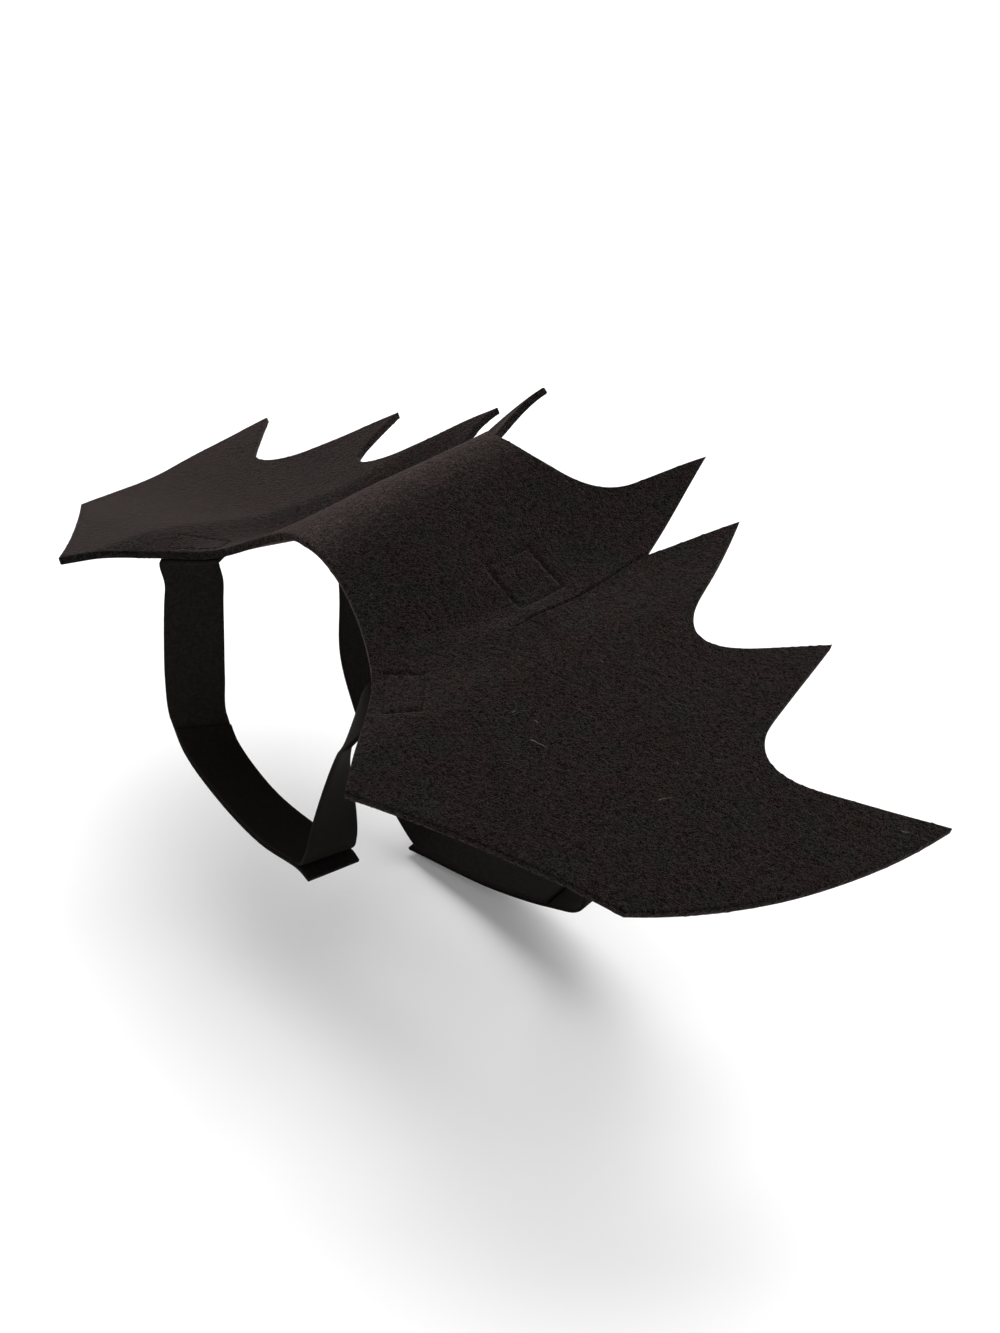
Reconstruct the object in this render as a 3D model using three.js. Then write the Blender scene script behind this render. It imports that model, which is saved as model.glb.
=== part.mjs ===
// Felt bat wings for a small pet: one felt sheet bent over the back, with a neck strap and a chest strap.
// Millimetres. X across (+X is the wearer's left), Y from head to tail, Z up.
// Everything is drawn with the crest level, in a group that is then pitched to the pose it is worn in.
import * as THREE from 'three';
import { mergeVertices } from 'three/addons/utils/BufferGeometryUtils.js';

const { clamp, degToRad, lerp, smoothstep } = THREE.MathUtils;

// Driving dimensions
const feltThickness = 3;
const strapWidth = 25;
const strapThickness = 1.6;
const gap = 0.4;
const crestPitch = 9;
const saddleY = 46;

// Rest form of the sheet: two flanks that fall from a rounded crest, then flatter outer panels.
// The crest is flatter and sags at the head end, and the flanks are steeper at the tail end.
const crestLength = 94;
const headFall = 0.56;
const headRound = 20;
const headSag = 3.6;
const headSagReach = 46;
const tailFall = 0.72;
const tailRound = 11;
const leftFlare = 3;
const flareStart = 112;
const flareEnd = 165;
const outerFall = 0.283;
const outerBackFall = 0.097;
const outerMeetX = 71;
const outerMeetY = 68;
const outerMeetZ = -30.4;
const blendStart = 45;
const blendEnd = 98;

// The right wing hangs in its own way: it is steeper and sags across its middle, its tip curls up,
// its inner spikes splay out and its outer part spreads from head to tail.
// Each share runs from none at its start to all at its full place.
const rightFlare = 7;
const rightFlareStart = 104;
const rightFlareEnd = 169;
const rightSteep = 0.3;
const steepFade = 100;
const steepEnd = 166;
const rightSag = 15.7;
const rightTaper = 0.5;
const bendStart = -28;
const bendFull = 44;
const sagFade = 69;
const sagEnd = 165;
const tipCurl = 6.8;
const curlStartX = 102;
const curlStartY = -12.5;
const tipX = 224;
const tipY = 103.5;
const rightSpread = 0.045;
const spreadMiddleY = 22;
const spreadFullX = 190;
const rightSplay = 7.8;
const splayStart = 100;
const splayFull = 150;
const splayFullX = 45;
const splayFade = 80;
const splayEnd = 125;

// Slit dart on each wing: its lips rise a little and meet edge to edge, the inner one a step higher,
// and the slit leans in towards the crest on its way to the tail
const slitX = 70.3;
const slitStartY = 44;
const slitMouthY = 112;
const slitWidth = 0.4;
const slitLean = 2.6;
const leanReach = 45;
const lipLift = 0.9;
const lipStep = 0.8;
const lipRamp = 7;
const lipReach = 30;

// Edges of the left wing in plan. ease is the length over which a corner is rounded,
// and viaX, viaY is the point that pulls the stretch leading to a row into a curve.
const headEdge = [
  { name: 'crest', x: 0, y: 0 },
  { name: 'neck corner', x: 65.2, y: -20.6, viaX: 37, viaY: 3.6 },
  { name: 'wrist', x: 105.2, y: -58 },
  { name: 'leading bend', x: 189, y: -13.5, viaX: 146, viaY: -30.5 },
  { name: 'wing tip', x: tipX, y: 102, viaX: 222, viaY: 34 },
];
const innerTailEdge = [
  { name: 'crest', x: 0, y: crestLength },
  { name: 'crest rise', x: 17.2, y: 100.4, viaX: 8.8, viaY: 96.2 },
  { name: 'crest scallop', x: 40.4, y: 113, ease: 17 },
  { name: 'first spike', x: 49.7, y: 164.2 },
  { name: 'slit mouth', x: slitX, y: slitMouthY },
];
const outerTailEdge = [
  { name: 'slit mouth', x: slitX, y: slitMouthY },
  { name: 'second spike', x: 77.2, y: 155.6 },
  { name: 'inner scallop', x: 114, y: 79.5, ease: 33.5 },
  { name: 'third spike', x: 142.5, y: 134.5 },
  { name: 'outer scallop', x: 166, y: 59.5, ease: 32 },
  { name: 'wing tip', x: tipX, y: tipY },
];

// Sections across the sheet: each row runs on to x in that many steps
const innerSections = [
  { x: 17.2, steps: 4 },
  { x: 41, steps: 5 },
  { x: 49.7, steps: 4 },
  { x: 65.2, steps: 4 },
  { x: slitX, steps: 2 },
];
const outerSections = [
  { x: 77.2, steps: 2 },
  { x: 105.2, steps: 6 },
  { x: 128, steps: 7 },
  { x: 142.5, steps: 3 },
  { x: 155, steps: 3 },
  { x: 189, steps: 10 },
  { x: 218, steps: 6 },
  { x: tipX, steps: 2 },
];

// Rows along a section, as shares of the stretch ahead of the slit's start and of the stretch past it
const headShares = [0, 0.12, 0.24, 0.36, 0.48, 0.61, 0.74, 0.87];
const tailShares = [0, 0.08, 0.16, 0.25, 0.4, 0.55, 0.7, 0.85, 1];
const slitRow = headShares.length;
const leastStretch = 0.3;

// Straps. Each row is one station of a strap's middle, with the bearing of its width in plan (turn)
// and how far that width leans up (lean), in degrees. Drops start where the strap leaves the felt.
const neckLeftPatch = { x: 68.5, y: -23.5, turn: 140, length: 24 };
const neckLeftDrop = [
  { x: 67, y: -30.5, z: -39.5, turn: 137, lean: -6 },
  { x: 62.5, y: -32, z: -48, turn: 140, lean: -26 },
  { x: 54, y: -31, z: -61, turn: 140, lean: -40 },
  { x: 44, y: -30.5, z: -81, turn: 123, lean: -38 },
  { x: 36, y: -31.5, z: -102, turn: 104, lean: -28 },
  { x: 30.5, y: -33.5, z: -119, turn: 92, lean: -16 },
];
const neckRightPatch = { x: -63, y: -20, turn: 44, length: 24 };
const neckRightDrop = [
  { x: -62.5, y: -21.5, z: -40, turn: 46, lean: 0 },
  { x: -61.3, y: -24.5, z: -48, turn: 48, lean: -2 },
  { x: -60, y: -29, z: -62, turn: 54, lean: -6 },
  { x: -60, y: -34, z: -82, turn: 64, lean: -12 },
];
const neckClosure = [
  { x: -60, y: -37, z: -100, turn: 78, lean: -20 },
  { x: -54, y: -38, z: -114, turn: 82, lean: -22 },
  { x: -30, y: -38.5, z: -125.5, turn: 79, lean: -22 },
  { x: 0, y: -37.5, z: -129.5, turn: 80, lean: -14 },
  { x: 24, y: -34.5, z: -129, turn: 86, lean: -13 },
  { x: 31.5, y: -35, z: -130.3, turn: 91, lean: -15 },
];

const chestPatch = { x: 64, y: 60, turn: 90, length: 22 };
const chestLeftDrop = [
  { x: 67.5, y: 60, z: -47, turn: 90, lean: 0 },
  { x: 68.5, y: 60, z: -75, turn: 90, lean: 0 },
  { x: 77, y: 60, z: -120, turn: 90, lean: 0 },
  { x: 84, y: 60, z: -160, turn: 92, lean: 0 },
  { x: 82, y: 60, z: -175, turn: 94, lean: 0 },
  { x: 75, y: 60, z: -184, turn: 96, lean: 0 },
];
const chestRightDrop = [
  { x: -66.5, y: 60.5, z: -60, turn: 90, lean: 0 },
  { x: -67, y: 57.5, z: -84, turn: 90, lean: 0 },
  { x: -68.5, y: 51.8, z: -116, turn: 90, lean: 0 },
  { x: -65, y: 51, z: -150, turn: 92, lean: 0 },
  { x: -56, y: 49.5, z: -180, turn: 94, lean: 0 },
  { x: -43, y: 48.5, z: -198, turn: 96, lean: 0 },
];
const chestClosure = [
  { x: -38, y: 47.8, z: -213, turn: 97, lean: 0 },
  { x: -28, y: 49, z: -211.5, turn: 97, lean: 0 },
  { x: 15, y: 54, z: -205, turn: 97, lean: 0 },
  { x: 45, y: 57.5, z: -196.5, turn: 97, lean: 0 },
  { x: 62, y: 59.5, z: -190, turn: 97, lean: 0 },
];
const bandRails = 4;
const patchSteps = 5;
const dropSteps = 3;
const closureSteps = 3;
const tabSteps = 3;
const tailInset = 1;
const peel = 0.5;
const peelStart = 0.6;

// Fineness of plan curves, and the distance within which corners are one
const curvePoints = 24;
const mergeDistance = 1e-4;
const slopeReach = 0.5;

const feltMaterial = new THREE.MeshStandardMaterial({ color: 0x1a1514, roughness: 0.95, metalness: 0 });
const loopTapeMaterial = new THREE.MeshStandardMaterial({ color: 0x1b1819, roughness: 0.9, metalness: 0 });
const hookTapeMaterial = new THREE.MeshStandardMaterial({ color: 0x151314, roughness: 0.7, metalness: 0 });

// Share of the right wing's own bend at y, which fades out towards the tail
function bendShare(x, y, fade, end) {
  return x < 0 ? smoothstep(y, bendStart, bendFull) * (1 - smoothstep(y, fade, end)) : 0;
}

// Rise of the spikes
function flareHeight(x, y) {
  return x < 0
    ? rightFlare * smoothstep(y, rightFlareStart, rightFlareEnd)
    : leftFlare * smoothstep(y, flareStart, flareEnd);
}

// Height of a flank: it falls from the rounded crest, which sags at the head end
function flankHeight(x, y) {
  const tailward = smoothstep(y, 0, crestLength);
  const round = lerp(headRound, tailRound, tailward);
  const fall = lerp(headFall, tailFall, tailward) + rightSteep * bendShare(x, y, steepFade, steepEnd);
  const sag = headSag * (1 - smoothstep(y, 0, headSagReach));
  return flareHeight(x, y) - sag - fall * (Math.hypot(x, round) - round);
}

// Height of an outer panel
function outerHeight(x, y) {
  const past = Math.abs(x) - outerMeetX;
  const plain = outerMeetZ - outerFall * past - outerBackFall * (y - outerMeetY);
  const sag = rightSag * (1 - rightTaper * past / (tipX - outerMeetX)) * bendShare(x, y, sagFade, sagEnd);
  const curl = x < 0 ? tipCurl * smoothstep(-x, curlStartX, tipX) * smoothstep(y, curlStartY, tipY) : 0;
  return plain - sag + curl;
}

// Height of the upper face at rest
function restHeight(x, y) {
  return lerp(flankHeight(x, y), outerHeight(x, y), smoothstep(Math.abs(x), blendStart, blendEnd));
}

// Upward normal of the rest form
function restNormal(x, y) {
  const across = restHeight(x + slopeReach, y) - restHeight(x - slopeReach, y);
  const along = restHeight(x, y + slopeReach) - restHeight(x, y - slopeReach);
  return new THREE.Vector3(-across, -along, 2 * slopeReach).normalize();
}

// How far a point of the plan moves outwards: the slit leans, and the right wing's inner spikes splay
function outwardShift(reach, y, isRight) {
  const fromSlit = Math.abs(reach - slitX);
  const lean = slitLean * (1 - 2 * smoothstep(y, slitStartY, slitMouthY)) * (1 - smoothstep(fromSlit, 0, leanReach));
  const spikes = smoothstep(reach, 0, splayFullX) * (1 - smoothstep(reach, splayFade, splayEnd));
  return lean + (isRight ? rightSplay * spikes * smoothstep(y, splayStart, splayFull) : 0);
}

// How far the right wing's outer part moves along the body
function spreadShift(x, y) {
  return x < 0 ? rightSpread * (y - spreadMiddleY) * smoothstep(-x, outerMeetX, spreadFullX) : 0;
}

// A point under the felt's upper face, with the slit's lips lifted
function feltPoint(x, y, depth, isOuter = Math.abs(x) > slitX) {
  const reach = Math.abs(x);
  const placeX = x + Math.sign(x) * outwardShift(reach, y, x < 0);
  const placeY = y + spreadShift(x, y);
  const open = smoothstep(y, slitStartY, slitStartY + lipRamp) * (1 - smoothstep(Math.abs(reach - slitX), 0, lipReach));
  const height = restHeight(placeX, placeY) + (isOuter ? lipLift : lipLift + lipStep) * open;
  return new THREE.Vector3(placeX, placeY, height).addScaledVector(restNormal(placeX, placeY), -depth);
}

// A plan edge as a path of straight stretches, curves and eased corners
function edgePoints(rows) {
  const corner = (row) => new THREE.Vector2(row.x, row.y);
  const path = new THREE.Path([corner(rows[0])]).moveTo(rows[0].x, rows[0].y);
  rows.slice(1).forEach((row, index) => {
    const here = corner(row);
    if (row.ease) {
      const back = corner(rows[index]).sub(here).setLength(row.ease).add(here);
      const onward = corner(rows[index + 2]).sub(here).setLength(row.ease).add(here);
      path.lineTo(back.x, back.y);
      path.quadraticCurveTo(here.x, here.y, onward.x, onward.y);
    } else if (row.viaX !== undefined) {
      path.quadraticCurveTo(row.viaX, row.viaY, here.x, here.y);
    } else {
      path.lineTo(here.x, here.y);
    }
  });
  return path.getPoints(curvePoints);
}

// Where an edge crosses a section at x
function edgeAt(points, x) {
  const after = points.findIndex((point, index) => index > 0 && point.x >= x);
  const end = after < 0 ? points.length - 1 : after;
  const from = points[end - 1];
  const to = points[end];
  const share = clamp((x - from.x) / (to.x - from.x), 0, 1);
  return lerp(from.y, to.y, share);
}

function sectionPlaces(start, table) {
  const places = [start];
  for (const { x, steps } of table) {
    const from = places.at(-1);
    for (let step = 1; step <= steps; step += 1) {
      places.push(lerp(from, x, step / steps));
    }
  }
  return places;
}

// Rows of one section from the head edge to the tail edge, with a row at the start of the slit
function sectionRows(head, tail) {
  const length = tail - head;
  const middle = clamp(
    slitStartY, head + leastStretch * length, tail - leastStretch * length);
  return [
    ...headShares.map((share) => lerp(head, middle, share)),
    ...tailShares.map((share) => lerp(middle, tail, share)),
  ];
}

function addQuad(faces, a, b, c, d) {
  faces.push(a, b, c, a, c, d);
}

// Skin of a sheet between two grids of points, with a wall on each open border.
// Columns run along the first index, and firstWall and lastWall say from which row they are open.
function addSheet(faces, upper, lower, firstWall = 0, lastWall = 0) {
  const columns = upper.length - 1;
  const rows = upper[0].length - 1;
  for (let i = 0; i < columns; i += 1) {
    for (let j = 0; j < rows; j += 1) {
      addQuad(faces, upper[i][j], upper[i + 1][j], upper[i + 1][j + 1], upper[i][j + 1]);
      addQuad(faces, lower[i][j], lower[i][j + 1], lower[i + 1][j + 1], lower[i + 1][j]);
    }
    addQuad(faces, lower[i][0], lower[i + 1][0], upper[i + 1][0], upper[i][0]);
    addQuad(faces, upper[i][rows], upper[i + 1][rows], lower[i + 1][rows], lower[i][rows]);
  }
  for (let j = firstWall; j < rows; j += 1) {
    addQuad(faces, lower[0][j + 1], lower[0][j], upper[0][j], upper[0][j + 1]);
  }
  for (let j = lastWall; j < rows; j += 1) {
    addQuad(faces, lower[columns][j], lower[columns][j + 1], upper[columns][j + 1], upper[columns][j]);
  }
}

function solidFromFaces(faces) {
  const geometry = mergeVertices(new THREE.BufferGeometry().setFromPoints(faces), mergeDistance);
  geometry.computeVertexNormals();
  return geometry;
}

// One section of a panel as points at a depth below the upper face
function panelColumn(x, tailEdge, depth, isOuter) {
  const head = edgeAt(edges.head, Math.abs(x));
  const tail = edgeAt(tailEdge, Math.abs(x));
  return sectionRows(head, tail).map((y, row) => {
    const onSlit = Math.abs(x) === slitX && row > slitRow;
    const inset = onSlit ? (isOuter ? slitWidth / 2 : -slitWidth / 2) : 0;
    return feltPoint(x + Math.sign(x) * inset, y, depth, isOuter);
  });
}

const edges = {
  head: edgePoints(headEdge),
  innerTail: edgePoints(innerTailEdge),
  outerTail: edgePoints(outerTailEdge),
};

// The sheet: an inner panel from slit to slit and an outer panel past each slit, in one skin
function wingGeometry() {
  const faces = [];
  const innerHalf = sectionPlaces(0, innerSections);
  const inner = [...innerHalf.slice(1).reverse().map((x) => -x), ...innerHalf];
  const innerGrid = (depth) => inner.map((x) => panelColumn(x, edges.innerTail, depth, false));
  addSheet(faces, innerGrid(0), innerGrid(feltThickness), slitRow, slitRow);

  const outer = sectionPlaces(slitX, outerSections);
  const leftGrid = (depth) => outer.map((x) => panelColumn(x, edges.outerTail, depth, true));
  addSheet(faces, leftGrid(0), leftGrid(feltThickness), slitRow, 0);
  const rightGrid = (depth) => outer.map((x) => panelColumn(-x, edges.outerTail, depth, true)).reverse();
  addSheet(faces, rightGrid(0), rightGrid(feltThickness), 0, slitRow);
  return solidFromFaces(faces);
}

// Points across a strap at one station, from its head edge to its tail edge
function stationRail({ x, y, z, turn, lean }) {
  const level = Math.cos(degToRad(lean));
  const across = new THREE.Vector3(
    level * Math.cos(degToRad(turn)), level * Math.sin(degToRad(turn)), Math.sin(degToRad(lean)));
  const rail = [];
  for (let step = 0; step <= bandRails; step += 1) {
    const share = step / bandRails - 0.5;
    rail.push(new THREE.Vector3(x, y, z).addScaledVector(across, share * strapWidth));
  }
  return rail;
}

// Sewn end of a strap: it lies under the felt, peels off it a little and stops where the drop begins
function patchRails({ x, y, turn, length }, bearing) {
  const run = new THREE.Vector2(Math.cos(degToRad(bearing)), Math.sin(degToRad(bearing)));
  const across = new THREE.Vector2(Math.cos(degToRad(turn)), Math.sin(degToRad(turn)));
  const rails = [];
  for (let step = 0; step <= patchSteps; step += 1) {
    const share = step / patchSteps;
    const depth = feltThickness + gap + strapThickness / 2 + peel * smoothstep(share, peelStart, 1);
    const start = new THREE.Vector2(x, y).addScaledVector(run, (share - 1) * length);
    const rail = [];
    for (let stitch = 0; stitch <= bandRails; stitch += 1) {
      const place = start.clone().addScaledVector(across, (stitch / bandRails - 0.5) * strapWidth);
      rail.push(feltPoint(place.x, place.y, depth));
    }
    rails.push(rail);
  }
  return rails;
}

// More stations on smooth curves through the given ones
function smoothRails(rails, steps) {
  const curves = rails[0].map((_, rail) => new THREE.CatmullRomCurve3(
    rails.map((station) => station[rail]), false, 'centripetal'));
  const count = (rails.length - 1) * steps;
  return Array.from({ length: count + 1 }, (_, step) => curves.map((curve) => curve.getPoint(step / count)));
}

// The same stations moved along the band's own normal
function offsetRails(rails, offset) {
  const end = rails.length - 1;
  return rails.map((rail, i) => rail.map((point, j) => {
    const along = rails[Math.min(i + 1, end)][j].clone().sub(rails[Math.max(i - 1, 0)][j]);
    const across = rail[Math.min(j + 1, bandRails)].clone().sub(rail[Math.max(j - 1, 0)]);
    return point.clone().addScaledVector(along.cross(across).normalize(), offset);
  }));
}

// A strap half: its sewn end, its drop and its share of the closure
function strapGeometry(patch, drop, closure) {
  const hanging = [patch.at(-2), patch.at(-1), ...drop.map(stationRail), closure[0], closure[1]];
  const free = smoothRails(hanging, dropSteps).slice(dropSteps + 1, -dropSteps - 1);
  const rails = [...patch, ...free, ...closure];
  const faces = [];
  addSheet(faces, offsetRails(rails, strapThickness / 2), offsetRails(rails, -strapThickness / 2));
  return solidFromFaces(faces);
}

// Two layers of a closure, the upper one inside the loop, both running from right to left
function closureLayers(rows) {
  const meeting = smoothRails(rows.map(stationRail), closureSteps);
  const apart = (strapThickness + gap) / 2;
  return { inside: offsetRails(meeting, apart), outside: offsetRails(meeting, -apart) };
}

const neckLayers = closureLayers(neckClosure);
const chestLayers = closureLayers(chestClosure);

function neckStraps() {
  const right = patchRails(neckRightPatch, neckRightPatch.turn - 90);
  const left = patchRails(neckLeftPatch, neckLeftPatch.turn + 90);
  const tail = neckLayers.inside.slice(tailInset, -tabSteps).reverse();
  return {
    right: strapGeometry(right, neckRightDrop, neckLayers.outside),
    left: strapGeometry(left, neckLeftDrop, tail),
  };
}

function chestStraps() {
  const right = patchRails({ ...chestPatch, x: -chestPatch.x }, 180);
  const left = patchRails(chestPatch, 0);
  const tail = chestLayers.inside.slice(tabSteps, -tailInset);
  return {
    right: strapGeometry(right, chestRightDrop, tail),
    left: strapGeometry(left, chestLeftDrop, [...chestLayers.outside].reverse()),
  };
}

function namedMesh(name, geometry, material) {
  const mesh = new THREE.Mesh(geometry, material);
  mesh.name = name;
  return mesh;
}

// The pitched group, with the underside of the crest at the origin
const neck = neckStraps();
const chest = chestStraps();
const worn = new THREE.Group();
worn.rotation.x = degToRad(crestPitch);
worn.position.set(0, -saddleY, feltThickness).applyEuler(worn.rotation);
worn.add(
  namedMesh('wing_panel', wingGeometry(), feltMaterial),
  namedMesh('neck_strap_right', neck.right, loopTapeMaterial),
  namedMesh('neck_strap_left', neck.left, hookTapeMaterial),
  namedMesh('chest_strap_right', chest.right, loopTapeMaterial),
  namedMesh('chest_strap_left', chest.left, hookTapeMaterial),
);

const batWings = new THREE.Group();
batWings.add(worn);

export default batWings;
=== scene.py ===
# Felt bat wings for a small pet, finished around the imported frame
import bpy
import math
import random
from mathutils import Matrix, Vector, noise


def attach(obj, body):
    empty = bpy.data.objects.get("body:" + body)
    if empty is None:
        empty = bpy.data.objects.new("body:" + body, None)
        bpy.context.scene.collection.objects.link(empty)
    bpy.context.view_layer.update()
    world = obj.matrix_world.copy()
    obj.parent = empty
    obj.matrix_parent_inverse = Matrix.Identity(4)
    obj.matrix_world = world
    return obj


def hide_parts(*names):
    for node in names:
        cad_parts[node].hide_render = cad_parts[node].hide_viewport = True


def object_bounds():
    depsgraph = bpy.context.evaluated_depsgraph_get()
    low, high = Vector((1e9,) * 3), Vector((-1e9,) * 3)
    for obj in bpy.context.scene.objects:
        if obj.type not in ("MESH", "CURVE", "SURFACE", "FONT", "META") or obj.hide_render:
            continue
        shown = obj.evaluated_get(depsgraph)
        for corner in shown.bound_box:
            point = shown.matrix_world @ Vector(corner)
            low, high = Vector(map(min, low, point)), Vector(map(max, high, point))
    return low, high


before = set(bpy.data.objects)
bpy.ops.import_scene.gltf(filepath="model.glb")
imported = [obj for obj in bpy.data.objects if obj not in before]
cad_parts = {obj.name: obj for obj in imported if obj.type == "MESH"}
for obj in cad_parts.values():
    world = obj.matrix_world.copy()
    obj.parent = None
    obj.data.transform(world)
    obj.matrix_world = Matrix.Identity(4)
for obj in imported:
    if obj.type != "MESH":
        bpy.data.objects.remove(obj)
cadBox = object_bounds()
print("frame loaded:", ", ".join(sorted(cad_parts)))

mm = 0.001


# Camera at the photograph's angle, for an image of 1000 by 1333
cameraSetup = {
    "place": (0.4677, -0.3230, 0.2679),
    "heading": 51.42,        # degrees, turned from +Y towards -X
    "downTilt": 31.61,
    "lens": 57.6,
    "sensorWidth": 36.0,
}


def addCamera():
    tilt = math.radians(90 - cameraSetup["downTilt"])
    turn = math.radians(cameraSetup["heading"])
    bpy.ops.object.camera_add(location=cameraSetup["place"], rotation=(tilt, 0, turn))
    camera = bpy.context.object
    camera.name = "viewCamera"
    camera.data.sensor_fit = "HORIZONTAL"
    camera.data.sensor_width = cameraSetup["sensorWidth"]
    camera.data.lens = cameraSetup["lens"]
    bpy.context.scene.camera = camera


# Small helpers
def ramp(value, low, high):
    share = min(max((value - low) / (high - low), 0.0), 1.0)
    return share * share * (3.0 - 2.0 * share)


def mix(a, b, share):
    return a + (b - a) * share


def bearing(degrees):
    return Vector((math.cos(math.radians(degrees)), math.sin(math.radians(degrees))))


def startPiece(name):
    piece = bpy.context.object
    piece.name = name
    piece.data.name = name
    return piece


def selectOnly(piece):
    bpy.ops.object.select_all(action="DESELECT")
    piece.select_set(True)
    bpy.context.view_layer.objects.active = piece


def addModifier(piece, kind, **settings):
    selectOnly(piece)
    modifier = piece.modifiers.new(kind.lower(), kind)
    for key, value in settings.items():
        setattr(modifier, key, value)
    bpy.ops.object.modifier_apply(modifier=modifier.name)


def smoothShade(piece, degrees):
    selectOnly(piece)
    bpy.ops.object.shade_smooth_by_angle(angle=math.radians(degrees))


# Form of the felt sheet, in millimetres with the crest level
wingForm = {
    "thickness": 3.0,
    "crestPitch": 9.0,       # the crest rises towards the tail when worn
    "saddleY": 46.0,
    "crestLength": 94.0,
    "headFall": 0.56,        # the crest is flatter and sags at the head end
    "headRound": 20.0,
    "headSag": 3.6,
    "headSagReach": 46.0,
    "tailFall": 0.72,        # the flanks are steeper at the tail end
    "tailRound": 11.0,
    "leftFlare": 3.0,
    "leftFlareRise": (112.0, 165.0),
    "outerFall": 0.283,
    "outerBackFall": 0.097,
    "outerMeet": (71.0, 68.0, -30.4),
    "blendStart": 45.0,
    "blendEnd": 98.0,
    "tip": (224.0, 103.5),
    "unevenness": 0.22,
    "unevenSize": 26.0,
    "unevenDraw": 3.1,       # which slice of the noise is used
}
rightWing = {                # it hangs in its own way: steeper, sagging, with splayed spikes
    "flare": 7.0,
    "flareRise": (104.0, 169.0),
    "steep": 0.3,
    "steepFade": (100.0, 166.0),
    "sag": 15.7,
    "taper": 0.5,
    "bendRise": (-28.0, 44.0),
    "sagFade": (69.0, 165.0),
    "curl": 6.8,
    "curlStart": (102.0, -12.5),
    "spread": 0.045,
    "spreadMiddle": 22.0,
    "spreadFull": 190.0,
    "splay": 7.8,
    "splayRise": (100.0, 150.0),
    "splayFull": 45.0,
    "splayFade": (80.0, 125.0),
}
dart = {
    "x": 70.3,
    "startY": 44.0,
    "mouthY": 112.0,
    "cutY": 40.6,            # the cut runs on flat a little ahead of the lips
    "slit": 0.14,
    "lean": 2.6,
    "leanReach": 45.0,
    "lipLift": 0.9,
    "lipStep": 0.8,          # the inner lip stands a little higher
    "lipRamp": 7.0,
    "lipReach": 30.0,
    "pucker": 1.3,           # soft valley that rises to a ridge in line with the slit
    "puckerWidth": 6.0,
    "puckerRise": (-34.0, -4.0),     # both from the start of the slit
    "puckerFade": (6.0, 30.0),
}
wornFrame = Matrix.Rotation(math.radians(wingForm["crestPitch"]), 4, "X") @ Matrix.Translation(
    (0, -wingForm["saddleY"], wingForm["thickness"]))

# Box stitches that hold the strap ends: middle, bearing of the long axis, length and depth of crease
stitchBoxes = [
    {"name": "neck_stitch_left", "x": 74.0, "y": -13.0, "turn": 52, "long": 14, "dent": 0.85},
    {"name": "neck_stitch_right", "x": -70.0, "y": -10.5, "turn": 132, "long": 14, "dent": 0.25},
    {"name": "chest_stitch_left", "x": 53.5, "y": 60.7, "turn": 0, "long": 19, "dent": 0.95},
    {"name": "chest_stitch_right", "x": -53.5, "y": 60.7, "turn": 0, "long": 19, "dent": 0.5},
]
seam = {
    "boxWidth": 21.5,
    "dentWidth": 0.95,
    "dentReach": 4.0,        # in dent widths
    "cutStep": 0.8,
    "pitch": 3.1,
    "stitch": 2.3,
    "thread": 0.5,
    "proud": 0.1,
    "sides": 8,
    "rings": 6,
    "smoothBelow": 80,
}


def toWorn(point):
    return (wornFrame @ Vector(point)) * mm


def boxDistance(box, x, y):      # distance from a box stitch's line, in plan
    away = Vector((x - box["x"], y - box["y"]))
    along = bearing(box["turn"])
    u = abs(away.dot(along)) - box["long"] / 2
    v = abs(away.dot(Vector((-along.y, along.x)))) - seam["boxWidth"] / 2
    if u > 0 or v > 0:
        return math.hypot(max(u, 0), max(v, 0))
    return -max(u, v)


def bendShare(x, y, fade):       # share of the right wing's own bend
    if x >= 0:
        return 0.0
    return ramp(y, *rightWing["bendRise"]) * (1 - ramp(y, *fade))


def flankHeight(x, y):           # falls from the rounded crest
    form = wingForm
    tailward = ramp(y, 0, form["crestLength"])
    crestRound = mix(form["headRound"], form["tailRound"], tailward)
    fall = mix(form["headFall"], form["tailFall"], tailward)
    fall += rightWing["steep"] * bendShare(x, y, rightWing["steepFade"])
    sag = form["headSag"] * (1 - ramp(y, 0, form["headSagReach"]))
    if x < 0:
        flare = rightWing["flare"] * ramp(y, *rightWing["flareRise"])
    else:
        flare = form["leftFlare"] * ramp(y, *form["leftFlareRise"])
    return flare - sag - fall * (math.hypot(x, crestRound) - crestRound)


def outerHeight(x, y):
    form = wingForm
    meetX, meetY, meetZ = form["outerMeet"]
    tipX, tipY = form["tip"]
    past = abs(x) - meetX
    height = meetZ - form["outerFall"] * past - form["outerBackFall"] * (y - meetY)
    if x < 0:
        sag = rightWing["sag"] * (1 - rightWing["taper"] * past / (tipX - meetX))
        height -= sag * bendShare(x, y, rightWing["sagFade"])
        curlX, curlY = rightWing["curlStart"]
        height += rightWing["curl"] * ramp(-x, curlX, tipX) * ramp(y, curlY, tipY)
    return height


def restHeight(x, y):
    share = ramp(abs(x), wingForm["blendStart"], wingForm["blendEnd"])
    return mix(flankHeight(x, y), outerHeight(x, y), share)


def restNormal(x, y):
    step = 0.5
    across = restHeight(x + step, y) - restHeight(x - step, y)
    along = restHeight(x, y + step) - restHeight(x, y - step)
    return Vector((-across, -along, 2 * step)).normalized()


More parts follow.
